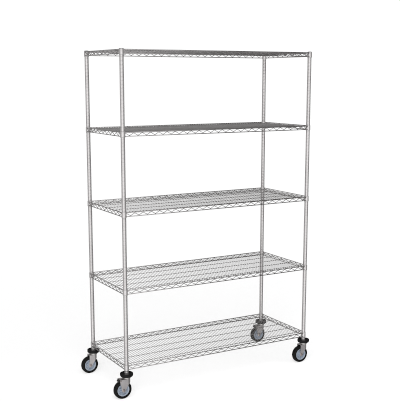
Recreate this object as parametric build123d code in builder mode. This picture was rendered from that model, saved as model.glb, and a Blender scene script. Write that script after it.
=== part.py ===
from build123d import *
import os
from math import cos, radians, sin

# Wire shelf trolley: five wire shelves clamped to four grooved posts by split tapered
# sleeves, on four swivel casters, two of them braked. Millimetres. Origin on the floor,
# midway between the posts; +X along the long side, +Y to the back, +Z up. All casters
# trail towards -X.

os.makedirs("parts", exist_ok=True)

# ---------------------------------------------------------------------------
# Layout and shared helpers
# ---------------------------------------------------------------------------
post_span_x = 1490.0  # post axis to post axis, long side
post_span_y = 578.0  # post axis to post axis, short side
half_x = post_span_x / 2
half_y = post_span_y / 2
corners = {
    "front_left": (-half_x, -half_y),
    "front_right": (half_x, -half_y),
    "back_left": (-half_x, half_y),
    "back_right": (half_x, half_y),
}
braked = ["front_left", "back_right"]

shelf_count = 5
shelf_pitch = 525.0
top_level = 2327.0  # top rim wire centre of the highest shelf
shelf_levels = [top_level - i * shelf_pitch for i in range(shelf_count)]

run_fit = 0.05  # radial clearance of turning and plugged-in parts


def upright(origin_x, origin_y, along=0.0):
    """Plane for profiles in X and Z; it faces the front, so extrusions run towards -Y."""
    return Plane(origin=(origin_x, origin_y + along, 0), x_dir=(1, 0, 0), z_dir=(0, -1, 0))


def post_axis(post_x, post_y, direction=1):
    return Axis((post_x, post_y, 0), (0, 0, direction))


def save(part, name):
    part.label = name
    export_step(part, f"parts/{name}.step")


# ---------------------------------------------------------------------------
# Posts: tubes with ring grooves, so that a sleeve can sit at any level
# ---------------------------------------------------------------------------
post_r = 14.3
post_wall = 1.6
post_bore_r = post_r - post_wall
post_bottom = 154.0
post_top = 2332.0
foot_chamfer = 0.6
top_chamfer = 0.4
groove_pitch = 25.0
groove_depth = 0.5
groove_width = 1.6
groove_slope = 0.7  # height of each sloping groove side
groove_first = 185.0
groove_count = 86


def make_post(post_x, post_y):
    outline = [
        (post_bore_r, post_bottom),
        (post_r - foot_chamfer, post_bottom),
        (post_r, post_bottom + foot_chamfer),
    ]
    for i in range(groove_count):
        z = groove_first + i * groove_pitch
        outline += [
            (post_r, z - groove_width / 2),
            (post_r - groove_depth, z - groove_width / 2 + groove_slope),
            (post_r - groove_depth, z + groove_width / 2 - groove_slope),
            (post_r, z + groove_width / 2),
        ]
    outline += [
        (post_r, post_top - top_chamfer),
        (post_r - top_chamfer, post_top),
        (post_bore_r, post_top),
    ]
    with BuildPart() as post:
        with BuildSketch(upright(post_x, post_y)):
            with BuildLine():
                Polyline(*outline, close=True)
            make_face()
        revolve(axis=post_axis(post_x, post_y))
    return post.part


# ---------------------------------------------------------------------------
# Post caps: a plug with a low domed brim in the open top of each post
# ---------------------------------------------------------------------------
cap_plug_r = post_bore_r - 0.1
cap_outline = [  # radius, height
    (0, post_top - 14),
    (post_bore_r - 1.5, post_top - 14),
    (cap_plug_r, post_top - 12),
    (cap_plug_r, post_top),
    (post_r, post_top),
    (post_r, post_top + 1.2),
    (post_r - 1.4, post_top + 2.2),
    (7.0, post_top + 2.9),
    (0, post_top + 3.2),
]


def make_post_caps():
    with BuildPart() as caps:
        for post_x, post_y in corners.values():
            with BuildSketch(upright(post_x, post_y)):
                with BuildLine():
                    Polyline(*cap_outline, close=True)
                make_face()
            revolve(axis=post_axis(post_x, post_y))
    return caps.part


# ---------------------------------------------------------------------------
# Split sleeves: two tapered halves around each post under every shelf collar,
# with an inner rib that drops into a groove of the post
# ---------------------------------------------------------------------------
sleeve_top = 4.8  # heights here are from the shelf level
sleeve_bottom = -34.5
sleeve_fit = 0.05
sleeve_ease = 0.09  # the bore opens slightly towards both ends of the sleeve
sleeve_gap = 2.0  # degrees between the two halves, on each side of the post
sleeve_chamfer = 0.5
cone_r_top = 15.5  # sleeve outside radius at sleeve_top
cone_slope = 0.012  # radius gained per millimetre downwards
rib_level = -17.0  # a groove of the post lies here
rib_tip_r = post_r - groove_depth + 0.15
rib_tip_half = 0.1  # half heights of the rib at its tip and its root
rib_root_half = 0.7


def cone_r(z):
    """Outside radius of the sleeve taper at height z from the shelf level."""
    return cone_r_top + (sleeve_top - z) * cone_slope


sleeve_outline = [  # radius, height from the shelf level
    (post_r + sleeve_ease, sleeve_bottom),
    (cone_r(sleeve_bottom) - sleeve_chamfer, sleeve_bottom),
    (cone_r(sleeve_bottom), sleeve_bottom + sleeve_chamfer),
    (cone_r(sleeve_top), sleeve_top),
    (post_r + sleeve_ease, sleeve_top),
    (post_r + sleeve_fit, rib_level + rib_root_half),
    (rib_tip_r, rib_level + rib_tip_half),
    (rib_tip_r, rib_level - rib_tip_half),
    (post_r + sleeve_fit, rib_level - rib_root_half),
]


def make_sleeves(level):
    with BuildPart() as sleeves:
        for post_x, post_y in corners.values():
            for side in (1, -1):  # back half, front half
                turn = radians(side * sleeve_gap / 2)
                half_plane = Plane(
                    origin=(post_x, post_y, 0),
                    x_dir=(cos(turn), sin(turn), 0),
                    z_dir=(sin(turn), -cos(turn), 0),
                )
                with BuildSketch(half_plane):
                    with BuildLine():
                        Polyline(*[(r, level + z) for r, z in sleeve_outline], close=True)
                    make_face()
                revolve(
                    axis=post_axis(post_x, post_y, side),
                    revolution_arc=180.0 - sleeve_gap,
                )
    return sleeves.part


# ---------------------------------------------------------------------------
# Shelf frame: four tapered collars, top and bottom rim wires on all sides and
# a zigzag truss wire between them, welded into one piece
# ---------------------------------------------------------------------------
collar_top = 4.0  # heights here are from the shelf level
collar_bottom = -32.0
collar_wall = 1.5
collar_chamfer = 0.4
collar_spare = 1.2  # metal inside the taper, removed again by the bore
bore_overrun = 8.0  # the bore cutter passes both collar ends by this much

rim_offset = 12.0  # rim wires stand this far outside the post axes
rim_x = half_x + rim_offset
rim_y = half_y + rim_offset
rim_r = 3.0
rim_drop = 26.0  # top rim wire to bottom rim wire
rim_inset = 9.5  # rim wires stop this far short of the post axes

truss_r = 2.0
truss_bite = 0.4  # overlap of truss and rim wires
truss_inset = 9.0
truss_half_waves_x = 48
truss_half_waves_y = 18
truss_bend_r = 4.0
truss_high = -(rim_r + truss_r - truss_bite)
truss_low = -rim_drop - truss_high

collar_outline = [  # radius, height
    (cone_r(collar_bottom) - collar_spare, collar_bottom),
    (cone_r(collar_bottom) + collar_wall - collar_chamfer, collar_bottom),
    (cone_r(collar_bottom) + collar_wall, collar_bottom + collar_chamfer),
    (cone_r(collar_top) + collar_wall, collar_top - collar_chamfer),
    (cone_r(collar_top) + collar_wall - collar_chamfer, collar_top),
    (cone_r(collar_top) - collar_spare, collar_top),
]
bore_low = collar_bottom - bore_overrun
bore_high = collar_top + bore_overrun
bore_outline = [  # radius, height
    (0, bore_low),
    (cone_r(bore_low) + sleeve_fit, bore_low),
    (cone_r(bore_high) + sleeve_fit, bore_high),
    (0, bore_high),
]


def zigzag(reach, half_waves):
    """Corner points of a truss wire that starts and ends at the top."""
    step = 2 * reach / half_waves
    return [
        (-reach + i * step, truss_high if i % 2 == 0 else truss_low)
        for i in range(half_waves + 1)
    ]


truss_points_x = zigzag(half_x - truss_inset, truss_half_waves_x)
truss_points_y = zigzag(half_y - truss_inset, truss_half_waves_y)


def make_frame():
    """One shelf frame with its top rim wires centred on z = 0."""
    with BuildPart() as frame:
        # collars
        for post_x, post_y in corners.values():
            with BuildSketch(upright(post_x, post_y)):
                with BuildLine():
                    Polyline(*collar_outline, close=True)
                make_face()
            revolve(axis=post_axis(post_x, post_y))
        # rim wires, top then bottom: a long and a short one for each side
        for z in (0.0, -rim_drop):
            for side in (-1, 1):
                long_start = (-half_x + rim_inset, side * rim_y, z)
                with BuildSketch(Plane(origin=long_start, x_dir=(0, 1, 0), z_dir=(1, 0, 0))):
                    Circle(rim_r)
                extrude(amount=post_span_x - 2 * rim_inset)
                short_start = (side * rim_x, -half_y + rim_inset, z)
                with BuildSketch(Plane(origin=short_start, x_dir=(1, 0, 0), z_dir=(0, 1, 0))):
                    Circle(rim_r)
                extrude(amount=post_span_y - 2 * rim_inset)
        # truss wires
        for side in (-1, 1):
            long_plane = Plane(origin=(0, side * rim_y, 0), x_dir=(1, 0, 0), z_dir=(0, -1, 0))
            short_plane = Plane(origin=(side * rim_x, 0, 0), x_dir=(0, 1, 0), z_dir=(1, 0, 0))
            for plane, points in ((long_plane, truss_points_x), (short_plane, truss_points_y)):
                with BuildLine(plane) as path:
                    FilletPolyline(*points, radius=truss_bend_r)
                with BuildSketch(Plane(path.line @ 0, z_dir=path.line % 0)):
                    Circle(truss_r)
                sweep(path=path.line)
        # tapered bores, cut last to clear any wire ends inside the collars
        for post_x, post_y in corners.values():
            with BuildSketch(upright(post_x, post_y)):
                with BuildLine():
                    Polyline(*bore_outline, close=True)
                make_face()
            revolve(axis=post_axis(post_x, post_y), mode=Mode.SUBTRACT)
    return frame.part


def place_frame(frame, level):
    with BuildPart() as shelf_frame:
        with Locations((0, 0, level)):
            add(frame)
    return shelf_frame.part


# ---------------------------------------------------------------------------
# Shelf deck: straight wires from front to back on five long support wires
# ---------------------------------------------------------------------------
deck_r = 1.5
deck_pitch = 20.0
deck_count = 73
deck_drop = 3.7  # wire centres below the shelf level
deck_half_length = half_y + rim_offset - 2.1
edge_wire_x = deck_pitch * (deck_count + 1) / 2  # short wires, one pitch further out
edge_wire_end = 262.0
support_r = 2.0
support_pitch = 120.5
support_count = 5
support_end = rim_x - truss_r


def make_deck(level):
    deck_z = level - deck_drop
    support_z = deck_z - deck_r - support_r
    # wires across the shelf: half length, spacing, count
    cross_wires = [
        (deck_half_length, deck_pitch, deck_count),
        (edge_wire_end, 2 * edge_wire_x, 2),
    ]
    with BuildPart() as deck:
        for half_length, spacing, count in cross_wires:
            start = (0, -half_length, deck_z)
            with BuildSketch(Plane(origin=start, x_dir=(1, 0, 0), z_dir=(0, 1, 0))):
                with GridLocations(spacing, 1, count, 1):
                    Circle(deck_r)
            extrude(amount=2 * half_length)
        start = (-support_end, 0, support_z)
        with BuildSketch(Plane(origin=start, x_dir=(0, 1, 0), z_dir=(1, 0, 0))):
            with GridLocations(support_pitch, 1, support_count, 1):
                Circle(support_r)
        extrude(amount=2 * support_end)
    return deck.part


# ---------------------------------------------------------------------------
# Bumpers: a soft dished ring around the foot of each post
# ---------------------------------------------------------------------------
bumper_low = 151.0
bumper_high = 176.0
bumper_r = 44.5
bumper_lip = 3.5
bumper_dish = 12.0
bumper_round = 2.5  # outer top edge
stem_r = 12.6  # caster stem inside the ring and the post

# points on the ring profile: radius, height
bumper_base = (33.0, bumper_low)
bumper_base_mid = (40.6, bumper_low + 2.9)
bumper_wall_low = (bumper_r, bumper_low + 9.5)
bumper_wall_high = (bumper_r, bumper_high - bumper_round)
bumper_round_mid = (bumper_r - 0.7, bumper_high - 0.7)
bumper_lip_out = (bumper_r - bumper_round, bumper_high)
bumper_lip_in = (bumper_r - bumper_lip, bumper_high)
bumper_dish_mid = (35.0, bumper_high - 7.6)
bumper_dish_end = (24.0, bumper_high - bumper_dish + 0.6)
bumper_start = (stem_r + run_fit, bumper_low)


def make_bumper(post_x, post_y):
    with BuildPart() as bumper:
        with BuildSketch(upright(post_x, post_y)):
            with BuildLine():
                Line(bumper_start, bumper_base)
                ThreePointArc(bumper_base, bumper_base_mid, bumper_wall_low)
                Line(bumper_wall_low, bumper_wall_high)
                ThreePointArc(bumper_wall_high, bumper_round_mid, bumper_lip_out)
                Line(bumper_lip_out, bumper_lip_in)
                ThreePointArc(bumper_lip_in, bumper_dish_mid, bumper_dish_end)
                Polyline(
                    bumper_dish_end,
                    (post_r + run_fit, bumper_high - bumper_dish),
                    (post_r + run_fit, post_bottom),
                    (stem_r + run_fit, post_bottom),
                    bumper_start,
                )
            make_face()
        revolve(axis=post_axis(post_x, post_y))
    return bumper.part


# ---------------------------------------------------------------------------
# Caster dimensions shared by several parts
# ---------------------------------------------------------------------------
wheel_r = 63.5
wheel_z = wheel_r
trail = 32.0  # wheel axis behind the post axis, towards -X
axle_place = (-trail, wheel_z)  # x from the post axis, z
axle_r = 5.0
bush_r = 7.5
leg_gap = 21.0  # half the gap between the fork legs
leg_t = 3.0
leg_out = leg_gap + leg_t
crown_low = 137.0
crown_t = 3.2
crown_high = crown_low + crown_t
king_r = 6.0
race_z = 144.0
race_r = 20.0
ball_r = 2.5
ball_count = 16
race_groove_r = ball_r + 0.06
pedal_x = -52.0  # from the post axis
pedal_z = 132.0
pedal_place = (pedal_x, pedal_z)
pedal_pin_r = 2.5

# ---------------------------------------------------------------------------
# Caster stem: plug in the post, upper ball race with a skirt, riveted king pin
# ---------------------------------------------------------------------------
rivet_r = 9.5
rivet_low = crown_low - 4.6
rivet_high = crown_low - 0.1
skirt_in = 26.3
skirt_out = 28.2
upper_race_low = race_z + 0.4
stem_high = 210.0
stem_chamfer = 2.0
stem_outline = [  # radius, height
    (0, rivet_low),
    (rivet_r - 2.0, rivet_low),
    (rivet_r, crown_low - 3.0),
    (rivet_r, rivet_high),
    (king_r, rivet_high),
    (king_r, upper_race_low),
    (skirt_in, upper_race_low),
    (skirt_in, crown_high + 1.2),
    (27.6, crown_high + 1.2),
    (skirt_out, crown_high + 2.0),
    (skirt_out, bumper_low - 1.6),
    (26.6, bumper_low),
    (stem_r, bumper_low),
    (stem_r, stem_high - stem_chamfer),
    (stem_r - stem_chamfer, stem_high),
    (0, stem_high),
]


def make_stem(post_x, post_y):
    with BuildPart() as stem:
        with BuildSketch(upright(post_x, post_y)):
            with BuildLine():
                Polyline(*stem_outline, close=True)
            make_face()
        revolve(axis=post_axis(post_x, post_y))
        with Locations((post_x, post_y, race_z)):
            Torus(race_r, race_groove_r, mode=Mode.SUBTRACT)
    return stem.part


def make_balls(post_x, post_y):
    """Bearing balls between the races."""
    angles = [radians(360 * i / ball_count) for i in range(ball_count)]
    places = [
        (post_x + race_r * cos(angle), post_y + race_r * sin(angle), race_z)
        for angle in angles
    ]
    with BuildPart() as balls:
        with Locations(*places):
            Sphere(ball_r)
    return balls.part


# ---------------------------------------------------------------------------
# Caster fork: one pressing, U shaped in plan, two legs joined round the +X side
# by a half-round wall; the braked one has ears for the pedal pin
# ---------------------------------------------------------------------------
crown_reach = 39.0  # the crown plate ends this far behind the king pin
brake_crown_reach = 54.0  # and covers the pedal knuckle on a braked fork
channel_low = wheel_z - 16
channel_reach = 70.0
channel_cut_reach = 80.0  # passes the open end of the channel
crown_round = 2.4
leg_end_r = 14.0
leg_margin = 1.0  # the side profile passes the fork's outside by this much
lower_race_r = 25.4
lower_race_high = race_z - 0.4
lower_race_bite = 0.2
king_cut = (crown_low - 1, 12)  # start height and length of the king pin hole
leg_cut_y = 30.0  # cross holes run this far to both sides

# -X edge of a leg, upwards from the axle: x from the post axis, z
leg_edge = [
    (-trail - leg_end_r, wheel_z),
    (-trail - 11, 84),
    (-crown_reach, 104),
    (-crown_reach, crown_high),
]
brake_leg_edge = [
    (-trail - leg_end_r, wheel_z),
    (-50, 92), (-56, 113), (-59, 126), (-58, 138),
    (-brake_crown_reach, crown_high),
]
# +X edge, down from the crown to the axle
leg_front_edge = [
    (leg_out + leg_margin, crown_high),
    (leg_out + leg_margin, 119),
    (20, 112.5), (9, 101), (-4, 88),
    (-trail + leg_end_r, wheel_z),
]


def make_fork(post_x, post_y, has_brake):
    reach = brake_crown_reach if has_brake else crown_reach
    back_edge = brake_leg_edge if has_brake else leg_edge

    def on_crown_rim(edge):
        """Outer top edges of the crown: both long sides and the half-round end."""
        center = edge.center()
        box = edge.bounding_box()
        return (
            abs(center.Z - crown_high) < 0.01
            and (abs(abs(center.Y - post_y) - leg_out) < 0.01 or center.X > post_x + 1.0)
            and abs(box.max.Y - box.min.Y) < 2 * leg_out + 0.1
            and not (center.X > post_x + 1.0 and box.max.Y - post_y < leg_gap + 1.0)
        )

    with BuildPart() as fork:
        # U channel
        with BuildSketch(Plane.XY.offset(channel_low)):
            with Locations((post_x - channel_reach / 2, post_y)):
                Rectangle(channel_reach, 2 * leg_out)
            with Locations((post_x, post_y)):
                Circle(leg_out)
            with Locations((post_x - channel_cut_reach / 2, post_y)):
                Rectangle(channel_cut_reach, 2 * leg_gap, mode=Mode.SUBTRACT)
            with Locations((post_x, post_y)):
                Circle(leg_gap, mode=Mode.SUBTRACT)
        extrude(amount=crown_high - channel_low)
        # crown plate
        with BuildSketch(Plane.XY.offset(crown_low)):
            with Locations((post_x - reach / 2, post_y)):
                Rectangle(reach, 2 * leg_out)
            with Locations((post_x, post_y)):
                Circle(leg_out)
        extrude(amount=crown_t)
        fillet(fork.edges().filter_by(on_crown_rim), radius=crown_round)
        # trim everything to the side view of the legs
        with BuildSketch(upright(post_x, post_y, leg_out + leg_margin)):
            with BuildLine():
                Polyline(*back_edge, *leg_front_edge)
                ThreePointArc(
                    (-trail + leg_end_r, wheel_z),
                    (-trail, wheel_z - leg_end_r),
                    (-trail - leg_end_r, wheel_z),
                )
            make_face()
        extrude(amount=2 * (leg_out + leg_margin), mode=Mode.INTERSECT)
        # lower ball race
        with BuildSketch(Plane.XY.offset(crown_high - lower_race_bite)):
            with Locations((post_x, post_y)):
                Circle(lower_race_r)
        extrude(amount=lower_race_high - crown_high + lower_race_bite)
        with Locations((post_x, post_y, race_z)):
            Torus(race_r, race_groove_r, mode=Mode.SUBTRACT)
        # king pin hole
        king_cut_low, king_cut_length = king_cut
        with BuildSketch(Plane.XY.offset(king_cut_low)):
            with Locations((post_x, post_y)):
                Circle(king_r + run_fit)
        extrude(amount=king_cut_length, mode=Mode.SUBTRACT)
        # axle and pedal pin holes
        with BuildSketch(upright(post_x, post_y, leg_cut_y)):
            with Locations(axle_place):
                Circle(axle_r + run_fit)
            if has_brake:
                with Locations(pedal_place):
                    Circle(pedal_pin_r + run_fit)
        extrude(amount=2 * leg_cut_y, mode=Mode.SUBTRACT)
    return fork.part


# ---------------------------------------------------------------------------
# Axle: hexagon bolt from the back and its nut at the front; bushing around it
# ---------------------------------------------------------------------------
hexagon_r = 8.0  # axis to flat, head and nut
bolt_head_t = 6.4
bolt_chamfer = 0.8
shank_bite = 0.5  # the shank starts this far inside the head
shank_past = 10.5  # and ends this far in front of the front leg
nut_t = 8.0
nut_fit = 0.02


def make_axle(post_x, post_y):
    head_end = leg_out + bolt_head_t
    with BuildPart() as axle:
        with BuildSketch(upright(post_x, post_y, head_end)):
            with Locations(axle_place):
                RegularPolygon(radius=hexagon_r, side_count=6, major_radius=False)
        extrude(amount=bolt_head_t)
        chamfer(
            axle.edges().filter_by(lambda e: abs(e.center().Y - post_y - head_end) < 0.01),
            length=bolt_chamfer,
        )
        with BuildSketch(upright(post_x, post_y, leg_out + shank_bite)):
            with Locations(axle_place):
                Circle(axle_r)
        extrude(amount=2 * leg_out + shank_bite + shank_past)
        with BuildSketch(upright(post_x, post_y, -leg_out)):
            with Locations(axle_place):
                RegularPolygon(radius=hexagon_r, side_count=6, major_radius=False)
                Circle(axle_r + nut_fit, mode=Mode.SUBTRACT)
        extrude(amount=nut_t)
    return axle.part


def make_bushing(post_x, post_y):
    """Bushing clamped between the legs, on which the wheel turns."""
    with BuildPart() as bushing:
        with BuildSketch(upright(post_x, post_y, leg_gap)):
            with Locations(axle_place):
                Circle(bush_r)
                Circle(axle_r + run_fit, mode=Mode.SUBTRACT)
        extrude(amount=2 * leg_gap)
    return bushing.part


# ---------------------------------------------------------------------------
# Wheel: hub with rim, thin web, ribs on both faces and boss; tyre around it
# ---------------------------------------------------------------------------
hub_r = 43.5
hub_half_w = 16.4
boss_half_w = 41.0 / 2
web_half_t = 4.0
hub_half_outline = [  # radius, distance from the mid plane
    (bush_r + run_fit, boss_half_w),
    (13.0, boss_half_w),
    (14.0, boss_half_w - 1.0),
    (14.6, web_half_t),
    (37.0, web_half_t),
    (37.8, hub_half_w - 1.0),
    (38.8, hub_half_w),
    (hub_r, hub_half_w),
]
rib_count = 8
rib_mid_r = 26.0
rib_length = 25.0
rib_t = 3.0
rib_half_w = 12.0

tyre_half_w = 36.0 / 2
tyre_bore_r = hub_r + 0.01
# half profile of the tyre: radius, distance from the mid plane
tyre_side = [  # from the bore out over the ring step to the shoulder
    (tyre_bore_r, hub_half_w),
    (hub_r + 1.6, tyre_half_w),
    (52.5, tyre_half_w),
    (53.5, tyre_half_w - 0.8),
    (55.5, tyre_half_w - 0.8),
]
shoulder_mid = (61.0, tyre_half_w - 3.3)
shoulder_end = (63.2, tyre_half_w - 8.5)


def make_hub(post_x, post_y):
    wheel_x = post_x - trail
    front = [(wheel_x + r, post_y - w) for r, w in hub_half_outline]
    back = [(wheel_x + r, post_y + w) for r, w in reversed(hub_half_outline)]
    with BuildPart() as hub:
        with BuildSketch(Plane.XY.offset(wheel_z)):
            with BuildLine():
                Polyline(*front, *back, close=True)
            make_face()
        revolve(axis=Axis((wheel_x, post_y, wheel_z), (0, 1, 0)))
        with BuildSketch(upright(wheel_x, post_y, rib_half_w)):
            with Locations((0, wheel_z)):
                with PolarLocations(rib_mid_r, rib_count):
                    Rectangle(rib_length, rib_t)
        extrude(amount=2 * rib_half_w)
    return hub.part


def make_tyre(post_x, post_y):
    wheel_x = post_x - trail

    def at(point, side):
        """Profile point in plan; side is -1 for the front half, 1 for the back."""
        return (wheel_x + point[0], post_y + side * point[1])

    front = [at(point, -1) for point in tyre_side]
    back = [at(point, 1) for point in reversed(tyre_side)]
    with BuildPart() as tyre:
        with BuildSketch(Plane.XY.offset(wheel_z)):
            with BuildLine():
                Polyline(*front)
                ThreePointArc(front[-1], at(shoulder_mid, -1), at(shoulder_end, -1))
                ThreePointArc(at(shoulder_end, -1), at((wheel_r, 0), 1), at(shoulder_end, 1))
                ThreePointArc(at(shoulder_end, 1), at(shoulder_mid, 1), back[0])
                Polyline(*back, front[0])
            make_face()
        revolve(axis=Axis((wheel_x, post_y, wheel_z), (0, 1, 0)))
    return tyre.part


# ---------------------------------------------------------------------------
# Brake: pedal on a headed pin across the ears, with a shoe under its boss
# ---------------------------------------------------------------------------
pedal_half_w = 17.0
knuckle_half_w = leg_gap - 0.4
# rounded ends of the pedal plates: (x from the post axis, z), radius
knuckle_end = (pedal_place, 4.2)
plate_start = ((-57.5, 134.2), 2.2)
plate_end = ((-62.6, 131.6), 2.2)
lip_end = ((-64.6, 124.2), 1.8)
pedal_plates = [  # half width, two rounded ends
    (knuckle_half_w, knuckle_end, plate_start),
    (pedal_half_w, plate_start, plate_end),
    (pedal_half_w, plate_end, lip_end),
]
boss_place = (-57.5, 131.0)
boss_size = (8.0, 6.0)
boss_half_y = 12.0
pedal_cut_y = 22.0

pin_end = leg_out + 2.0
pin_head_r = 5.6
pin_head_in = leg_out + 0.05

shoe_place = (-57.25, 124.5)
shoe_size = (6.5, 7.0)
shoe_half_y = 12.5
shoe_clear = 0.25
pedal_press = 10.0  # degrees from released to shoe just clear of the tread


def make_pedal(post_x, post_y):
    with BuildPart() as pedal:
        for half_width, (start, start_r), (end, end_r) in pedal_plates:
            with BuildSketch(upright(post_x, post_y, half_width)):
                with Locations(start):
                    Circle(start_r)
                with Locations(end):
                    Circle(end_r)
                make_hull()
            extrude(amount=2 * half_width)
        with BuildSketch(upright(post_x, post_y, boss_half_y)):
            with Locations(boss_place):
                Rectangle(*boss_size)
        extrude(amount=2 * boss_half_y)
        with BuildSketch(upright(post_x, post_y, pedal_cut_y)):
            with Locations(pedal_place):
                Circle(pedal_pin_r + run_fit)
        extrude(amount=2 * pedal_cut_y, mode=Mode.SUBTRACT)
    return pedal.part


def make_pedal_pin(post_x, post_y):
    with BuildPart() as pin:
        with BuildSketch(upright(post_x, post_y, pin_end)):
            with Locations(pedal_place):
                Circle(pedal_pin_r)
        extrude(amount=2 * pin_end)
        for face_y in (pin_end, -pin_head_in):
            with BuildSketch(upright(post_x, post_y, face_y)):
                with Locations(pedal_place):
                    Circle(pin_head_r)
            extrude(amount=pin_end - pin_head_in)
    return pin.part


def make_shoe(post_x, post_y):
    """Shoe whose lower face fits the tread when the pedal is down."""
    # the wheel axis turned about the pedal pin, to cut the shoe while it is released
    turn = radians(pedal_press)
    to_x = -trail - pedal_x
    to_z = wheel_z - pedal_z
    turned_axle = (
        pedal_x + to_x * cos(turn) + to_z * sin(turn),
        pedal_z - to_x * sin(turn) + to_z * cos(turn),
    )
    with BuildPart() as shoe:
        with BuildSketch(upright(post_x, post_y, shoe_half_y)):
            with Locations(shoe_place):
                Rectangle(*shoe_size)
            with Locations(turned_axle):
                Circle(wheel_r + shoe_clear, mode=Mode.SUBTRACT)
        extrude(amount=2 * shoe_half_y)
    return shoe.part


# ---------------------------------------------------------------------------
# Build and export
# ---------------------------------------------------------------------------
save(make_post_caps(), "post_caps")

frame_master = make_frame()
for number, level in enumerate(shelf_levels, start=1):
    save(make_sleeves(level), f"shelf_{number}_sleeves")
    save(place_frame(frame_master, level), f"shelf_{number}_frame")
    save(make_deck(level), f"shelf_{number}_deck")

caster_makers = {
    "stem": make_stem,
    "balls": make_balls,
    "axle": make_axle,
    "bushing": make_bushing,
    "hub": make_hub,
    "tyre": make_tyre,
}
brake_makers = {
    "brake_pedal": make_pedal,
    "brake_pin": make_pedal_pin,
    "brake_shoe": make_shoe,
}
for corner, place in corners.items():
    has_brake = corner in braked
    save(make_post(*place), f"post_{corner}")
    save(make_bumper(*place), f"bumper_{corner}")
    save(make_fork(*place, has_brake), f"caster_{corner}_fork")
    makers = {**caster_makers, **brake_makers} if has_brake else caster_makers
    for name, make in makers.items():
        save(make(*place), f"caster_{corner}_{name}")
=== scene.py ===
"""A wire shelving rack on four casters: five chromed shelves on four grooved posts.

The rack is upright on the floor at z = 0, long along X and deep along Y, centred on the Z axis.
The wheels' axles lie along Y. All lengths are metres.
"""
import math

import bpy
import numpy as np
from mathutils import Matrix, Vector


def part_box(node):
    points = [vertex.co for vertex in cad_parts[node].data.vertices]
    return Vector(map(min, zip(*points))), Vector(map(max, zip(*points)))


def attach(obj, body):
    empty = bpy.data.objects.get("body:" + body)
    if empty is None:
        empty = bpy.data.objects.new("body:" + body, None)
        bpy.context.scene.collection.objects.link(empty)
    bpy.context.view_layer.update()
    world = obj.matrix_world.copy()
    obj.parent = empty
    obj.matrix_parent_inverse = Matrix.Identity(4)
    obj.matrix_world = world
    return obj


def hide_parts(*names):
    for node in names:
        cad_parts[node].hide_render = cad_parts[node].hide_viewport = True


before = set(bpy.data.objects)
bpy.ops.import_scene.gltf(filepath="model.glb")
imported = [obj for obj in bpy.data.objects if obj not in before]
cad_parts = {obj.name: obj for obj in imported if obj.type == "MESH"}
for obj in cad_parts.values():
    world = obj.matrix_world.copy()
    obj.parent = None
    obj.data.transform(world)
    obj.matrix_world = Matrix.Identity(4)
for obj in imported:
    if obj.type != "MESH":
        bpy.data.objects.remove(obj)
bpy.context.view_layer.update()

rng = np.random.default_rng(7)

CORNERS = ["front_left", "front_right", "back_left", "back_right"]
SHELVES = [1, 2, 3, 4, 5]


def centre_xy(node):
    low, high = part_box(node)
    middle = (low + high) / 2
    return middle.x, middle.y


POST = {corner: centre_xy("post_" + corner) for corner in CORNERS}
POST_X, POST_Y = (abs(value) for value in POST["front_right"])
POST_BORE = 0.01435  # radius of the holes that take a post


# ---------------------------------------------------------------------------
# Mesh helpers
# ---------------------------------------------------------------------------
def loft_faces(rings, sides, closed=False):
    """Faces that skin a row of rings. Closed joins the last ring to the first, else both are capped."""
    faces = []
    for i in range(rings if closed else rings - 1):
        near, far = i * sides, (i + 1) % rings * sides
        for j in range(sides):
            k = (j + 1) % sides
            faces.append((near + j, near + k, far + k, far + j))
    if not closed:
        faces.append(tuple(reversed(range(sides))))
        faces.append(tuple(range((rings - 1) * sides, rings * sides)))
    return faces


class Soup:
    """Collects the points and faces of one piece."""

    def __init__(self):
        self.points = []
        self.faces = []
        self.material_indices = []
        self.count = 0

    def add(self, points, faces, material=0):
        points = np.asarray(points, float).reshape(-1, 3)
        self.points.append(points)
        self.faces.extend([tuple(self.count + i for i in face) for face in faces])
        self.material_indices.extend([material] * len(faces))
        self.count += len(points)

    def loft(self, rings, material=0, closed=False):
        rings = np.asarray(rings, float)
        self.add(rings, loft_faces(rings.shape[0], rings.shape[1], closed), material)

    def finish(self, node, materials, sharp=50, body="rack"):
        """Make the object that replaces a CAD node. Edges over sharp degrees stay crisp."""
        name = "vis_" + node
        mesh = bpy.data.meshes.new(name)
        mesh.from_pydata(np.concatenate(self.points).tolist(), [], self.faces)
        for material in materials:
            mesh.materials.append(material)
        indices = np.array(self.material_indices, np.int32)
        mesh.polygons.foreach_set("material_index", indices)
        mesh.polygons.foreach_set("use_smooth", np.ones(len(self.faces), bool))
        mesh.set_sharp_from_angle(angle=math.radians(sharp))
        mesh.update()
        mesh.validate()
        piece = bpy.data.objects.new(name, mesh)
        bpy.context.scene.collection.objects.link(piece)
        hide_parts(node)
        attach(piece, body)


def unit(vector):
    return vector / np.linalg.norm(vector)


def tube(soup, path, radius, sides):
    """A round wire along a path of points, with bevelled ends. It mustn't start out vertical."""
    end_radius, bevel = 0.72, 0.30  # as shares of the wire's radius
    path = np.asarray(path, float)
    tangents = np.empty_like(path)
    tangents[1:-1] = path[2:] - path[:-2]
    tangents[0] = path[1] - path[0]
    tangents[-1] = path[-1] - path[-2]
    tangents /= np.linalg.norm(tangents, axis=1)[:, None]
    angles = np.linspace(0, 2 * np.pi, sides, endpoint=False)[:, None]
    across = unit(np.cross(tangents[0], (0.0, 0.0, 1.0)))
    rings = []
    for i, (point, tangent) in enumerate(zip(path, tangents)):
        across = unit(across - (across @ tangent) * tangent)
        circle = (np.cos(angles) * across + np.sin(angles) * np.cross(tangent, across)) * radius
        if i == 0:
            rings.append(point + circle * end_radius)
            rings.append(point + tangent * radius * bevel + circle)
        elif i == len(path) - 1:
            rings.append(point - tangent * radius * bevel + circle)
            rings.append(point + circle * end_radius)
        else:
            rings.append(point + circle)
    soup.loft(rings)


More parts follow.
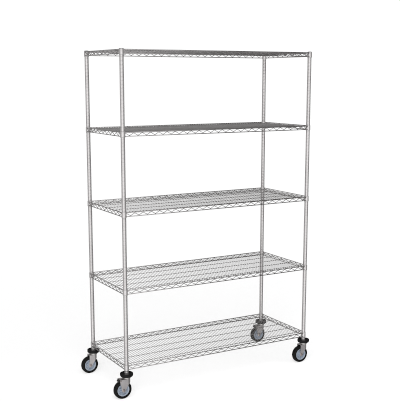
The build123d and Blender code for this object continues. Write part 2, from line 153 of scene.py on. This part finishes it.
def revolve(soup, profile, origin, sides, axis="z", material=0, closed=True):
    """Turn a profile of (radius, distance along the axis) about the Z or Y axis through origin."""
    radius, along = np.array(profile, float).T[..., None]
    angles = np.linspace(0, 2 * np.pi, sides, endpoint=False)
    cosine, sine = radius * np.cos(angles), radius * np.sin(angles)
    columns = (cosine, sine, along) if axis == "z" else (sine, along, cosine)
    rings = np.stack(np.broadcast_arrays(*columns), axis=2) + np.array(origin, float)
    soup.loft(rings, material, closed)


def mirrored(profile):
    """Complete a profile with its mirror image across distance 0."""
    return profile + [(radius, -along) for radius, along in reversed(profile)]


def bead(soup, centre, radii, around=8, down=4):
    """A small ellipsoid of weld metal."""
    x, y, z = centre
    rx, ry, rz = radii
    points = []
    for i in range(1, down):
        polar = math.pi * i / down
        for j in range(around):
            turn = 2 * math.pi * j / around
            points.append((
                x + rx * math.sin(polar) * math.cos(turn),
                y + ry * math.sin(polar) * math.sin(turn),
                z + rz * math.cos(polar),
            ))
    top = len(points)
    points += [(x, y, z + rz), (x, y, z - rz)]
    faces = []
    for j in range(around):
        k = (j + 1) % around
        faces.append((top, j, k))
        for i in range(down - 2):
            upper, lower = i * around, (i + 1) * around
            faces.append((upper + j, lower + j, lower + k, upper + k))
        last = (down - 2) * around
        faces.append((top + 1, last + k, last + j))
    soup.add(points, faces)


# ---------------------------------------------------------------------------
# Shader helpers
# ---------------------------------------------------------------------------
def feed(tree, node, inputs):
    """Link the sockets in inputs to the node and set its other values."""
    for key, value in inputs.items():
        if isinstance(value, bpy.types.NodeSocket):
            tree.links.new(value, node.inputs[key])
        else:
            node.inputs[key].default_value = value


def add_node(tree, kind, inputs=None, **settings):
    node = tree.nodes.new("ShaderNode" + kind)
    for name, value in settings.items():
        setattr(node, name, value)
    feed(tree, node, inputs or {})
    return node


def empty_material(name):
    material = bpy.data.materials.new(name)
    material.use_nodes = True
    material.node_tree.nodes.clear()
    return material, material.node_tree


def principled_material(name):
    material, tree = empty_material(name)
    output = add_node(tree, "OutputMaterial")
    shader = add_node(tree, "BsdfPrincipled")
    feed(tree, output, {0: shader.outputs[0]})
    return material, tree, shader


def object_coords(tree, scale=(1, 1, 1)):
    coords = add_node(tree, "TexCoord").outputs["Object"]
    return add_node(tree, "Mapping", {"Scale": scale, "Vector": coords}).outputs[0]


def noise(tree, vector, scale, detail, roughness=0.55):
    inputs = {"Scale": scale, "Detail": detail, "Roughness": roughness, "Vector": vector}
    return add_node(tree, "TexNoise", inputs).outputs["Fac"]


def ramp(tree, factor, stops):
    """Colour ramp through stops of (position, RGB)."""
    node = add_node(tree, "ValToRGB", {0: factor})
    elements = node.color_ramp.elements
    while len(elements) < len(stops):
        elements.new(0.5)
    for element, (position, colour) in zip(elements, stops):
        element.position = position
        element.color = (*colour, 1)
    return node.outputs[0]


def remap(tree, value, to_range, from_range=(0.0, 1.0)):
    return add_node(tree, "MapRange", {
        "From Min": from_range[0],
        "From Max": from_range[1],
        "To Min": to_range[0],
        "To Max": to_range[1],
        "Value": value,
    }).outputs[0]


def mix(tree, factor, first, second, blend="MIX"):
    inputs = {0: factor, 6: first, 7: second}  # 6 and 7 are the two colour sockets
    return add_node(tree, "Mix", inputs, data_type="RGBA", blend_type=blend).outputs[2]


def bump(tree, shader, height, strength, distance):
    inputs = {"Strength": strength, "Distance": distance, "Height": height}
    feed(tree, shader, {"Normal": add_node(tree, "Bump", inputs).outputs[0]})


# ---------------------------------------------------------------------------
# Materials
# ---------------------------------------------------------------------------
CLOUD_RANGE = (0.3, 0.7)  # the part of the cloud noise that drives roughness


def plated(name, base, dark, rough, streak=(1, 1, 1), spread=0.10, bump_size=0.00004,
           metallic=1.0):
    """Plated steel with cloudy patches, pinpoint marks and fine grain stretched by streak.

    Spread is how far the roughness wanders over the patches.
    """
    material, tree, shader = principled_material(name)
    plain = object_coords(tree)
    drawn = object_coords(tree, streak)
    cloud = noise(tree, plain, scale=9.0, detail=5.0)
    fine = noise(tree, drawn, scale=420.0, detail=3.0)
    marks = noise(tree, plain, scale=260.0, detail=2.0)
    patches = ramp(tree, cloud, [(0.30, dark), (0.62, base)])
    pits = ramp(tree, marks, [(0.70, (1, 1, 1)), (0.78, (0.62, 0.60, 0.57))])
    colour = mix(tree, factor=0.4, first=patches, second=pits, blend="MULTIPLY")
    cloud_rough = remap(tree, cloud, (rough - spread * 0.4, rough + spread * 0.6), CLOUD_RANGE)
    fine_rough = remap(tree, fine, (-0.03, 0.05))
    roughness = add_node(tree, "Math", {0: cloud_rough, 1: fine_rough}, operation="ADD")
    feed(tree, shader, {
        "Base Color": colour,
        "Metallic": metallic,
        "Roughness": roughness.outputs[0],
    })
    bump(tree, shader, fine, strength=0.35, distance=bump_size)
    return material


def moulded(name, base, dark, rough, grain=900.0, dust_and_highlights=None, specular=0.5):
    """Moulded rubber or plastic: fine grain, cloudy tone and, if given, lighter patches: dust on the
    bumper and hub, painted highlight specks on the tyre.
    """
    material, tree, shader = principled_material(name)
    coords = object_coords(tree)
    cloud = noise(tree, coords, scale=28.0, detail=5.0)
    grainy = noise(tree, coords, scale=grain, detail=2.0)
    colour = ramp(tree, cloud, [(0.32, dark), (0.66, base)])
    if dust_and_highlights is not None:
        patch = noise(tree, coords, scale=60.0, detail=8.0, roughness=0.7)
        cover = remap(tree, patch, to_range=(0.0, 0.35), from_range=(0.52, 0.80))
        colour = mix(tree, cover, colour, (*dust_and_highlights, 1))
    feed(tree, shader, {
        "Base Color": colour,
        "Roughness": remap(tree, cloud, (rough - 0.07, rough + 0.09), CLOUD_RANGE),
        "Specular IOR Level": specular,
    })
    bump(tree, shader, grainy, strength=0.5, distance=0.00006)
    return material


CHROME_POST = plated(
    "chrome_post", base=(0.735, 0.712, 0.708), dark=(0.66, 0.64, 0.636), rough=0.22,
    streak=(1, 1, 0.03), spread=0.06, bump_size=0.00001, metallic=0.74)
CHROME_WIRE = plated(
    "chrome_wire", base=(0.575, 0.558, 0.554), dark=(0.48, 0.465, 0.461), rough=0.30,
    spread=0.08, bump_size=0.00002)
CHROME_COLLAR = plated(
    "chrome_collar", base=(0.76, 0.737, 0.732), dark=(0.66, 0.64, 0.636), rough=0.26,
    spread=0.08, metallic=0.72)
ZINC = plated(
    "zinc_fork", base=(0.84, 0.805, 0.80), dark=(0.70, 0.665, 0.665), rough=0.34,
    spread=0.16, bump_size=0.00008)
RACE = plated("race_steel", base=(0.62, 0.61, 0.59), dark=(0.45, 0.44, 0.42), rough=0.34)
BALL = plated("ball_steel", base=(0.75, 0.75, 0.75), dark=(0.65, 0.65, 0.65), rough=0.12)
BOLT = plated(
    "bolt_steel", base=(0.58, 0.52, 0.50), dark=(0.44, 0.39, 0.375), rough=0.36, spread=0.18)
BRAKE = plated(
    "brake_steel", base=(0.12, 0.12, 0.118), dark=(0.07, 0.07, 0.069), rough=0.40, spread=0.16)
RUBBER = moulded(
    "bumper_rubber", base=(0.011, 0.011, 0.0112), dark=(0.006, 0.006, 0.0062), rough=0.52,
    dust_and_highlights=(0.035, 0.034, 0.033), specular=0.20)
# On the tyre the lighter greenish specks (the dust colour) are painted highlights, standing in for the
# speckled glints on the tread.
TYRE = moulded(
    "tyre_rubber", base=(0.009, 0.009, 0.0088), dark=(0.004, 0.004, 0.004), rough=0.50,
    dust_and_highlights=(0.030, 0.031, 0.026), specular=0.16)
HUB = moulded(
    "hub_plastic", base=(0.44, 0.50, 0.58), dark=(0.33, 0.385, 0.46), rough=0.30,
    grain=600.0, dust_and_highlights=(0.60, 0.60, 0.60), specular=0.8)
SLEEVE = moulded("sleeve_plastic", base=(0.40, 0.40, 0.40), dark=(0.34, 0.34, 0.34), rough=0.42)
CAP = moulded("cap_plastic", base=(0.30, 0.30, 0.30), dark=(0.24, 0.24, 0.24), rough=0.42)

# ---------------------------------------------------------------------------
# Posts: tubes ringed by shallow grooves
# ---------------------------------------------------------------------------
POST_WALL = 0.0016
POST_EDGE, POST_EDGE_MID = 0.0006, 0.00018  # size of the rounded end edge and its middle point
FIRST_GROOVE, GROOVE_PITCH = 0.185, 0.025
GROOVE_END_GAP = 0.01  # least distance from a groove to the top of the post
GROOVE = [  # (height from the groove's middle, depth)
    (-0.0010, 0.0), (-0.0007, 0.00008), (-0.00045, 0.00030), (-0.0002, 0.00048),
    (0.0002, 0.00048), (0.00045, 0.00030), (0.0007, 0.00008), (0.0010, 0.0),
]


def build_post(corner):
    node = "post_" + corner
    low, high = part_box(node)
    radius = (high.x - low.x) / 2
    edge = [
        (radius - POST_WALL, 0),
        (radius - POST_EDGE, 0),
        (radius - POST_EDGE_MID, POST_EDGE_MID),
        (radius, POST_EDGE),
    ]
    profile = [(r, low.z + rise) for r, rise in edge]
    z = FIRST_GROOVE
    while z < high.z - GROOVE_END_GAP:
        profile += [(radius - depth, z + rise) for rise, depth in GROOVE]
        z += GROOVE_PITCH
    profile += [(r, high.z - rise) for r, rise in reversed(edge)]
    soup = Soup()
    revolve(soup, profile, (*POST[corner], 0), sides=48)
    soup.finish(node, [CHROME_POST], sharp=60)


def build_post_caps():
    """A plug inside the top of each post, with a low domed head."""
    soup = Soup()
    for corner in CORNERS:
        low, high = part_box("post_" + corner)
        outer = (high.x - low.x) / 2
        plug = outer - 0.0017
        profile = [  # (radius, height from the top of the post)
            (0.0002, -0.014), (plug - 0.0014, -0.014), (plug, -0.012), (plug, 0),
            (outer - 0.0002, 0.00001), (outer, 0.0003), (outer, 0.0010),
            (outer - 0.0005, 0.0016), (outer - 0.0016, 0.0022),
            (0.008, 0.0028), (0.004, 0.0031), (0.0002, 0.0032),
        ]
        revolve(soup, profile, (*POST[corner], high.z), sides=40, closed=False)
    soup.finish("post_caps", [CAP])


# ---------------------------------------------------------------------------
# Shelves. Heights are from the level, the centre line of the upper rim wire.
# ---------------------------------------------------------------------------
RIM_R, TRUSS_R, DECK_R, SUPPORT_R = 0.003, 0.002, 0.0015, 0.002
RIM_OFFSET = 0.012  # rim wires' centre lines outside the post centres
RIM_X, RIM_Y = POST_X + RIM_OFFSET, POST_Y + RIM_OFFSET
RIM_END_INSET = 0.0117  # rim wires stop this far short of the post centres
RIM_HEIGHTS = (0.0, -0.026)
TRUSS_SINK = 0.0004  # how far the truss wire sinks into the rims
TRUSS_BEND, TRUSS_BEND_STEPS = 0.004, 4
BEAD_GAP = 0.0031  # from a rim's centre line to the beads on the truss side of it
BEAD_RADII = (0.0034, 0.0021, 0.0010)  # along the rim, across it, up
RUNS = [  # (axis, half length, distance from the centre, truss waves) of each pair of sides
    ("x", POST_X - RIM_END_INSET, RIM_Y, 48),
    ("y", POST_Y - RIM_END_INSET, RIM_X, 18),
]

COLLAR_TOP, COLLAR_BOTTOM = 0.004, -0.032
COLLAR_WALL, COLLAR_GAP = 0.0015, 0.00005  # wall and gap are outside the sleeve
COLLAR_EDGE, COLLAR_EDGE_MID = 0.0006, 0.00015
FILLET_INSET = 0.0125  # weld fillets from the post centre, along the rim
SLEEVE_TOP, SLEEVE_BOTTOM = 0.0048, -0.0345
SLEEVE_TOP_R, SLEEVE_TAPER = 0.0155, 0.012
SLEEVE_SPLIT = 0.018  # half the angle of the gap between the two halves, radians

WIRE_COUNT, WIRE_PITCH = 73, 0.020
WIRE_JITTER = 0.00012
WIRE_OVERHANG = 0.0099  # deck wires run past the post centres
DECK_HEIGHT = -0.0037
END_WIRE_X = (WIRE_COUNT // 2 + 1) * WIRE_PITCH
END_WIRE_REACH = 0.262  # the two end wires are shorter, between the posts
SUPPORT_COUNT, SUPPORT_PITCH = 5, 0.1205
SUPPORT_INSET = 0.002  # support wires stop this far inside the rims' centre lines


def sleeve_radius(height):
    """Outer radius of the sleeve, which widens downwards."""
    return SLEEVE_TOP_R + (SLEEVE_TOP - height) * SLEEVE_TAPER


def shelf_level(number):
    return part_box(f"shelf_{number}_frame")[1].z - COLLAR_TOP


def wire_x(index):
    return (index - WIRE_COUNT // 2) * WIRE_PITCH


def on_axis(axis, along, across, z):
    return (along, across, z) if axis == "x" else (across, along, z)


def zigzag_path(reach, waves, high, low):
    """Truss wire centre line in (along, height), with rounded bends."""
    step = 2 * reach / waves
    peaks = [
        np.array([-reach + i * step, high if i % 2 == 0 else low]) for i in range(waves + 1)
    ]
    path = [peaks[0]]
    for before, peak, after in zip(peaks, peaks[1:], peaks[2:]):
        back, ahead = unit(before - peak), unit(after - peak)
        half_angle = math.acos(back @ ahead) / 2
        cut = TRUSS_BEND / math.tan(half_angle)
        centre = peak + unit(back + ahead) * (TRUSS_BEND / math.sin(half_angle))
        start_x, start_z = peak + back * cut - centre
        end_x, end_z = peak + ahead * cut - centre
        start = math.atan2(start_z, start_x)
        # the short way round
        sweep = math.remainder(math.atan2(end_z, end_x) - start, math.tau)
        for k in range(TRUSS_BEND_STEPS + 1):
            angle = start + sweep * k / TRUSS_BEND_STEPS
            path.append(centre + TRUSS_BEND * np.array([math.cos(angle), math.sin(angle)]))
    path.append(peaks[-1])
    return path


def add_rims(soup, level):
    """Two rim wires on each side with a zigzag truss wire welded between them."""
    upper, lower = (level + height for height in RIM_HEIGHTS)
    truss_gap = RIM_R + TRUSS_R - TRUSS_SINK
    for side in (-1, 1):
        for z in (upper, lower):
            for axis, reach, offset, _ in RUNS:
                ends = [on_axis(axis, along, side * offset, z) for along in (-reach, reach)]
                tube(soup, ends, RIM_R, 16)
        for axis, reach, offset, waves in RUNS:
            path = zigzag_path(reach, waves, upper - truss_gap, lower + truss_gap)
            tube(soup, [on_axis(axis, p[0], side * offset, p[1]) for p in path], TRUSS_R, 12)
        for axis, reach, offset, waves in RUNS:
            for i in range(waves + 1):
                along = -reach + i * (2 * reach / waves)
                z = upper - BEAD_GAP if i % 2 == 0 else lower + BEAD_GAP
                bead(soup, on_axis(axis, along, side * offset, z), on_axis(axis, *BEAD_RADII))


def add_collar(soup, corner, level):
    """The tapered collar round a post, with weld fillets where the rims meet it."""
    x, y = POST[corner]
    top, bottom = COLLAR_TOP, COLLAR_BOTTOM
    outer_top = sleeve_radius(top) + COLLAR_WALL
    outer_bottom = sleeve_radius(bottom) + COLLAR_WALL
    profile = [
        (sleeve_radius(bottom) + COLLAR_GAP, bottom),
        (outer_bottom - COLLAR_EDGE, bottom),
        (outer_bottom - COLLAR_EDGE_MID, bottom + COLLAR_EDGE_MID),
        (outer_bottom, bottom + COLLAR_EDGE),
        (outer_top, top - COLLAR_EDGE),
        (outer_top - COLLAR_EDGE_MID, top - COLLAR_EDGE_MID),
        (outer_top - COLLAR_EDGE, top),
        (sleeve_radius(top) + COLLAR_GAP, top),
    ]
    revolve(soup, profile, (x, y, level), sides=48, material=1)
    out_x, out_y = math.copysign(1, x), math.copysign(1, y)
    for height in RIM_HEIGHTS:
        z = level + height
        on_x_rim = (x - out_x * FILLET_INSET, y + out_y * RIM_OFFSET, z)
        on_y_rim = (x + out_x * RIM_OFFSET, y - out_y * FILLET_INSET, z)
        bead(soup, on_x_rim, (0.0030, 0.0036, 0.0035), around=10, down=6)
        bead(soup, on_y_rim, (0.0036, 0.0030, 0.0035), around=10, down=6)


def build_shelf_frame(number):
    level = shelf_level(number)
    soup = Soup()
    add_rims(soup, level)
    for corner in CORNERS:
        add_collar(soup, corner, level)
    soup.finish(f"shelf_{number}_frame", [CHROME_WIRE, CHROME_COLLAR])


def build_shelf_deck(number):
    """Deck wires along Y, spot-welded onto support wires along X."""
    soup = Soup()
    deck_z = shelf_level(number) + DECK_HEIGHT
    reach = POST_Y + WIRE_OVERHANG
    for i in range(WIRE_COUNT):
        x = wire_x(i) + rng.normal(0, WIRE_JITTER)
        tube(soup, [(x, -reach, deck_z), (x, reach, deck_z)], DECK_R, 10)
    for x in (-END_WIRE_X, END_WIRE_X):
        tube(soup, [(x, -END_WIRE_REACH, deck_z), (x, END_WIRE_REACH, deck_z)], DECK_R, 10)
    support_z = deck_z - DECK_R - SUPPORT_R
    reach = RIM_X - SUPPORT_INSET
    for row in range(SUPPORT_COUNT):
        y = (row - SUPPORT_COUNT // 2) * SUPPORT_PITCH
        tube(soup, [(-reach, y, support_z), (reach, y, support_z)], SUPPORT_R, 12)
        for i in range(WIRE_COUNT):
            bead(soup, (wire_x(i), y, deck_z - DECK_R), (0.0014, 0.0016, 0.0006), around=6)
    soup.finish(f"shelf_{number}_deck", [CHROME_WIRE])


def build_shelf_sleeves(number):
    """Two half sleeves between each post and its collar."""
    level = shelf_level(number)
    top, bottom = SLEEVE_TOP, SLEEVE_BOTTOM
    outer_bottom = sleeve_radius(bottom)
    section = [  # (radius, height)
        (POST_BORE, bottom),
        (outer_bottom - 0.0007, bottom),
        (outer_bottom - 0.0002, bottom + 0.0002),
        (outer_bottom, bottom + 0.0007),
        (SLEEVE_TOP_R, top - 0.0004),
        (SLEEVE_TOP_R - 0.0003, top),
        (POST_BORE, top),
    ]
    soup = Soup()
    for corner in CORNERS:
        x, y = POST[corner]
        for half in (0, 1):
            start = math.pi * half + SLEEVE_SPLIT
            end = math.pi * (half + 1) - SLEEVE_SPLIT
            soup.loft([
                [(x + r * math.cos(a), y + r * math.sin(a), level + z) for r, z in section]
                for a in np.linspace(start, end, 25)
            ])
    soup.finish(f"shelf_{number}_sleeves", [SLEEVE])


# ---------------------------------------------------------------------------
# Casters
# ---------------------------------------------------------------------------
STEM_BORE = 0.01265
BORE_STEP = 0.0030  # height above the bumper's base where the bore widens for the post
BUMPER_UNDERSIDE = [  # (radius, height above the base)
    (STEM_BORE, 0), (0.0325, 0), (0.0352, 0.0004), (0.0376, 0.0012), (0.0396, 0.0024),
    (0.0414, 0.0040), (0.0429, 0.0060), (0.0439, 0.0080),
]
BUMPER_WALL = [  # (inset from the outer radius, height above the base), with a shallow groove
    (0.0001, 0.0100), (0, 0.0118), (0, 0.0128), (0.0004, 0.0131), (0.0004, 0.0139), (0, 0.0142),
]
BUMPER_LIP = [  # (inset from the outer radius, depth below the top)
    (0, 0.0028), (0.0002, 0.0017), (0.0007, 0.0008), (0.0015, 0.0002), (0.0025, 0),
    (0.0033, 0.0001), (0.0040, 0.0008),
]
BUMPER_DISH = [  # (radius, depth below the top)
    (0.0390, 0.0030), (0.0365, 0.0058), (0.0335, 0.0084), (0.0300, 0.0102), (0.0262, 0.0111),
    (0.0225, 0.0114), (0.0190, 0.0114), (0.0172, 0.0108), (0.0156, 0.0106),
    (POST_BORE + 0.0002, 0.0111), (POST_BORE, 0.0120),
]

# Wheel profiles cover the -Y half; distances are along the axle from the wheel's middle
TYRE_SEAT = (0.04351, -0.0164)
TYRE_SIDE = [  # (radius, inset from the tyre's side)
    (0.0444, 0.0006), (0.0454, 0), (0.0510, 0), (0.0518, 0.0003), (0.0525, 0.0008),
    (0.0534, 0.0010), (0.0545, 0.0008), (0.0562, 0.0010), (0.0583, 0.0016), (0.0602, 0.0028),
    (0.0617, 0.0046), (0.0626, 0.0066), (0.06305, 0.0088),
]
TYRE_TREAD = [  # (radius, distance)
    (0.0633, -0.0050), (0.06345, -0.0020), (0.06348, -0.0006), (0.06350, -0.0004),
]
HUB_PROFILE = [  # (radius, distance)
    (0.00755, -0.0200), (0.0080, -0.0205), (0.0126, -0.0205), (0.0134, -0.0203),
    (0.0139, -0.0197), (0.0142, -0.0110), (0.0150, -0.0060), (0.0172, -0.0045),
    (0.0200, -0.0040), (0.0325, -0.0040), (0.0343, -0.0046), (0.0353, -0.0064),
    (0.0362, -0.0142), (0.0366, -0.0154), (0.0374, -0.0162), (0.0382, -0.0165),
    (0.0422, -0.0165), (0.0431, -0.0163), (0.0435, -0.0158),
]
RIB_COUNT = 8
RIB_ROOT, RIB_EDGE = 0.0030, 0.0006  # distance of the rib's root, height of its top bevel
RIB_STATIONS = [  # (radius, distance of the rib's top, half width)
    (0.0135, 0.0145, 0.0019), (0.0200, 0.0124, 0.0017),
    (0.0300, 0.0116, 0.0016), (0.0364, 0.0132, 0.0018),
]
RIB_LOOP = (0, 2, 4, 5, 3, 1)  # order of a station's six points round its section


def build_bumper(corner):
    node = "bumper_" + corner
    low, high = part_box(node)
    base, top = low.z, high.z
    outer = (high.x - low.x) / 2
    profile = [(radius, base + rise) for radius, rise in BUMPER_UNDERSIDE]
    profile += [(outer - inset, base + rise) for inset, rise in BUMPER_WALL]
    profile += [(outer - inset, top - depth) for inset, depth in BUMPER_LIP]
    profile += [(radius, top - depth) for radius, depth in BUMPER_DISH]
    profile += [(POST_BORE, base + BORE_STEP), (STEM_BORE, base + BORE_STEP)]
    soup = Soup()
    revolve(soup, profile, (*POST[corner], 0), sides=96)
    soup.finish(node, [RUBBER], sharp=55)


def add_rib(soup, centre, angle, side):
    """A hub rib from boss to rim on one side, with sloping flanks."""
    x, y, z = centre
    cosine, sine = math.cos(angle), math.sin(angle)
    points = []
    for radius, top, half_width in RIB_STATIONS:
        section = (
            (RIB_ROOT, half_width * 1.5), (top - RIB_EDGE, half_width), (top, half_width * 0.6),
        )
        for distance, width in section:
            for flank in (-1, 1):
                points.append((
                    x + radius * cosine - flank * width * sine,
                    y + side * distance,
                    z + radius * sine + flank * width * cosine,
                ))
    sides = len(RIB_LOOP)
    faces = [
        tuple(i // sides * sides + RIB_LOOP[i % sides] for i in face)
        for face in loft_faces(len(RIB_STATIONS), sides)
    ]
    if side < 0:
        faces = [tuple(reversed(face)) for face in faces]
    soup.add(points, faces)


def build_wheel(corner):
    tyre, hub, body = f"caster_{corner}_tyre", f"caster_{corner}_hub", "wheel_" + corner
    low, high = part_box(tyre)
    centre = [(a + b) / 2 for a, b in zip(low, high)]
    half_width = (high.y - low.y) / 2
    side = [(radius, inset - half_width) for radius, inset in TYRE_SIDE]
    soup = Soup()
    profile = mirrored([TYRE_SEAT] + side + TYRE_TREAD)
    revolve(soup, profile, centre, sides=120, axis="y")
    soup.finish(tyre, [TYRE], body=body)

    soup = Soup()
    revolve(soup, mirrored(HUB_PROFILE), centre, sides=120, axis="y")
    for i in range(RIB_COUNT):
        angle = 2 * math.pi * (i + 0.5) / RIB_COUNT
        for side in (-1, 1):
            add_rib(soup, centre, angle, side)
    soup.finish(hub, [HUB], sharp=40, body=body)


# CAD shapes that stay, with new finishes
KEPT = {
    "stem": RACE, "balls": BALL, "fork": ZINC, "axle": BOLT, "bushing": RACE,
    "brake_pedal": BRAKE, "brake_pin": BOLT, "brake_shoe": RUBBER,
}


def finish_kept_parts(corner):
    for part, material in KEPT.items():
        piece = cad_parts.get(f"caster_{corner}_{part}")
        if piece is None:  # not every caster has every part
            continue
        for material_slot in piece.material_slots:
            material_slot.link = "OBJECT"
            material_slot.material = material


for corner in CORNERS:
    build_post(corner)
build_post_caps()
for number in SHELVES:
    build_shelf_frame(number)
    build_shelf_deck(number)
    build_shelf_sleeves(number)
for corner in CORNERS:
    build_bumper(corner)
    build_wheel(corner)
for corner in CORNERS:
    finish_kept_parts(corner)


# ---------------------------------------------------------------------------
# Studio: what the plating reflects, floor, world, lights and camera
# ---------------------------------------------------------------------------
def grey(value):
    return (value, value, value)


# Brightness by compass turn: 0 and 1 look along -Y, 0.25 along -X, 0.5 along +Y, 0.75 along +X
ROOM = [
    (0.00, (1.05, 1.05, 1.06)), (0.06, (1.25, 1.25, 1.26)), (0.12, (1.25, 1.25, 1.26)),
    (0.20, grey(0.74)), (0.28, grey(0.34)), (0.42, grey(0.40)), (0.55, grey(0.55)),
    (0.70, grey(0.26)), (0.82, grey(0.12)), (0.92, grey(0.30)), (1.00, (1.05, 1.05, 1.06)),
]
# Brightness factor by steepness: 0 looks straight down, 0.5 level, 1 straight up
ROOM_HEIGHT = [(0.0, grey(0.5)), (0.5, grey(1.0)), (0.62, grey(0.80)), (1.0, grey(0.5))]
# Floor glow by distance from a point below the camera, as a share of GLOW_REACH
GLOW_REACH = 30.0
FLOOR_GLOW = [
    (0.0, grey(0.60)), (0.215, grey(0.635)), (0.243, grey(0.66)), (0.337, grey(0.73)),
    (0.467, grey(0.77)), (0.783, grey(0.82)), (1.0, grey(0.86)),
]


def compass(tree, direction):
    """Turn (0 to 1, as in ROOM) and upward component of a direction."""
    parts = add_node(tree, "SeparateXYZ", {0: direction}).outputs
    angle = add_node(tree, "Math", {0: parts[0], 1: parts[1]}, operation="ARCTAN2")
    turn = remap(tree, angle.outputs[0], (0.0, 1.0), (-math.pi, math.pi))
    return turn, parts[2]


def build_floor():
    """The camera sees a glowing floor that takes shadows; other rays see the room."""
    bpy.ops.mesh.primitive_plane_add(size=60, location=(0, 0, 0))
    floor = bpy.context.object
    floor.name = "stage_floor"
    material, tree = empty_material("stage_floor")
    output = add_node(tree, "OutputMaterial")
    light_path = add_node(tree, "LightPath")
    geometry = add_node(tree, "NewGeometry")
    diffuse = add_node(tree, "BsdfDiffuse", {"Color": (*grey(0.675), 1)})
    distance = add_node(
        tree, "VectorMath", {0: geometry.outputs["Position"], 1: (-3.0, -5.2, 0.0)},
        operation="DISTANCE")
    share = remap(tree, distance.outputs["Value"], (0.0, 1.0), (0.0, GLOW_REACH))
    glow = add_node(
        tree, "Emission", {"Color": ramp(tree, share, FLOOR_GLOW), "Strength": 1.0})
    seen = add_node(tree, "AddShader", {0: diffuse.outputs[0], 1: glow.outputs[0]})
    # Incoming points back along the ray, so it is turned round
    look = add_node(
        tree, "VectorMath", {0: geometry.outputs["Incoming"], "Scale": -1.0},
        operation="SCALE")
    turn, _ = compass(tree, look.outputs[0])
    room = add_node(tree, "Emission", {"Color": ramp(tree, turn, ROOM), "Strength": 0.95})
    blend = add_node(tree, "MixShader", {
        0: light_path.outputs["Is Camera Ray"], 1: room.outputs[0], 2: seen.outputs[0],
    })
    feed(tree, output, {0: blend.outputs[0]})
    floor.data.materials.append(material)


def build_world(scene):
    """White behind the rack for the camera, the room for all other rays."""
    world = bpy.data.worlds.new("studio")
    scene.world = world
    world.use_nodes = True
    tree = world.node_tree
    tree.nodes.clear()
    output = add_node(tree, "OutputWorld")
    light_path = add_node(tree, "LightPath")
    white = add_node(tree, "Background", {"Color": (1, 1, 1, 1), "Strength": 1.05})
    turn, height = compass(tree, add_node(tree, "TexCoord").outputs["Generated"])
    around = ramp(tree, turn, ROOM)
    upward = ramp(tree, remap(tree, height, (0.0, 1.0), (-1.0, 1.0)), ROOM_HEIGHT)
    colour = mix(tree, 1.0, around, upward, blend="MULTIPLY")
    room = add_node(tree, "Background", {"Color": colour, "Strength": 1.0})
    blend = add_node(tree, "MixShader", {
        0: light_path.outputs["Is Camera Ray"], 1: room.outputs[0], 2: white.outputs[0],
    })
    feed(tree, output, {0: blend.outputs[0]})


def softbox(scene, name, location, size, power):
    """A square area light aimed at the middle of the rack, unseen in reflections."""
    target = Vector((0, 0, 1.0))
    data = bpy.data.lights.new(name, "AREA")
    data.shape = "RECTANGLE"
    data.size = data.size_y = size
    data.energy = power
    light = bpy.data.objects.new(name, data)
    scene.collection.objects.link(light)
    light.location = location
    light.rotation_euler = (target - Vector(location)).to_track_quat("-Z", "Y").to_euler()
    light.visible_glossy = False


def set_render(scene):
    scene.cycles.pixel_filter_type = "BOX"
    scene.cycles.filter_width = 1.0
    scene.cycles.denoising_prefilter = "NONE"
    scene.view_settings.view_transform = "Standard"
    scene.view_settings.look = "None"
    scene.view_settings.exposure = 0.0
    scene.view_settings.gamma = 1.0


def build_camera(scene):
    """Looks from the -X, -Y side, tilted slightly down."""
    tilt_down, turn = 0.1741, -0.5232  # radians
    data = bpy.data.cameras.new("camera")
    camera = bpy.data.objects.new("camera", data)
    scene.collection.objects.link(camera)
    data.sensor_width = 36.0
    data.lens = 74.638
    data.shift_x = 0.00013
    data.shift_y = 0.0587
    data.clip_end = 200.0
    camera.location = (-3.0037, -5.2024, 2.1486)
    camera.rotation_euler = (math.pi / 2 - tilt_down, 0.0, turn)
    scene.camera = camera


scene = bpy.context.scene
build_floor()
build_world(scene)
softbox(scene, "stage_key", location=(-2.6, -4.2, 5.2), size=3.2, power=150)
softbox(scene, "stage_fill", location=(3.8, -3.0, 3.4), size=2.6, power=40)
set_render(scene)
build_camera(scene)
